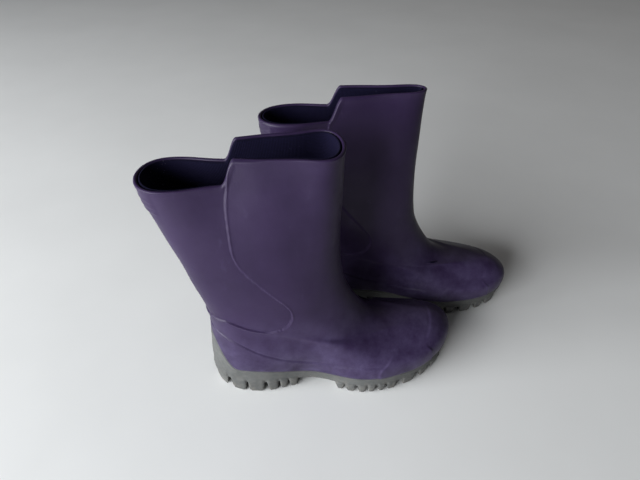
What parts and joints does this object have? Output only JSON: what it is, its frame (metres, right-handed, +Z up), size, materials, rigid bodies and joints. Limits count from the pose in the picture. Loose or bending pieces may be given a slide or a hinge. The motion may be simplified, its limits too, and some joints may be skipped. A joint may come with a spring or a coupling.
{
  "type": "children's rubber rain boots",
  "caption": "Pair of child's moulded rubber rain boots with a stepped collar, grey lugged soles, a sewn-in lining and lift-out footbeds.",
  "frame": {"origin": "on the ground, under the middle of the pair's box as the two boots stand", "axes": "+X to the toes, +Y to the wearer's left, from the right boot to the left one, +Z up"},
  "size_m": [0.3006, 0.1696, 0.2082],
  "materials": {
    "upper": "satin",
    "outsole": "matte",
    "lining": "matte",
    "insole_board": "matte",
    "footbed_foam": "matte",
    "footbed_cover": "matte"
  },
  "bodies": {
    "right_boot": {"right_upper": "upper", "right_outsole": "outsole", "right_lining": "lining", "right_insole_board": "insole_board"},
    "right_footbed": {"right_footbed_foam": "footbed_foam", "right_footbed_cover": "footbed_cover"},
    "left_boot": {"left_upper": "upper", "left_outsole": "outsole", "left_lining": "lining", "left_insole_board": "insole_board"},
    "left_footbed": {"left_footbed_foam": "footbed_foam", "left_footbed_cover": "footbed_cover"}
  },
  "joints": [
    {"name": "left_boot_lift", "type": "slide", "parent": "right_boot", "child": "left_boot", "axis": [0, 0, 1], "range_m": [0, 0.3]},
    {"name": "right_footbed_peel", "type": "hinge", "parent": "right_boot", "child": "right_footbed", "pos_m": [0.07738, -0.03402, 0.0155], "axis": [-0.0785, 0.9969, 0], "range_deg": [0, 4]},
    {"name": "left_footbed_peel", "type": "hinge", "parent": "left_boot", "child": "left_footbed", "pos_m": [0.14474, 0.04151, 0.0155], "axis": [-0.0262, 0.9997, 0], "range_deg": [0, 4]}
  ]
}
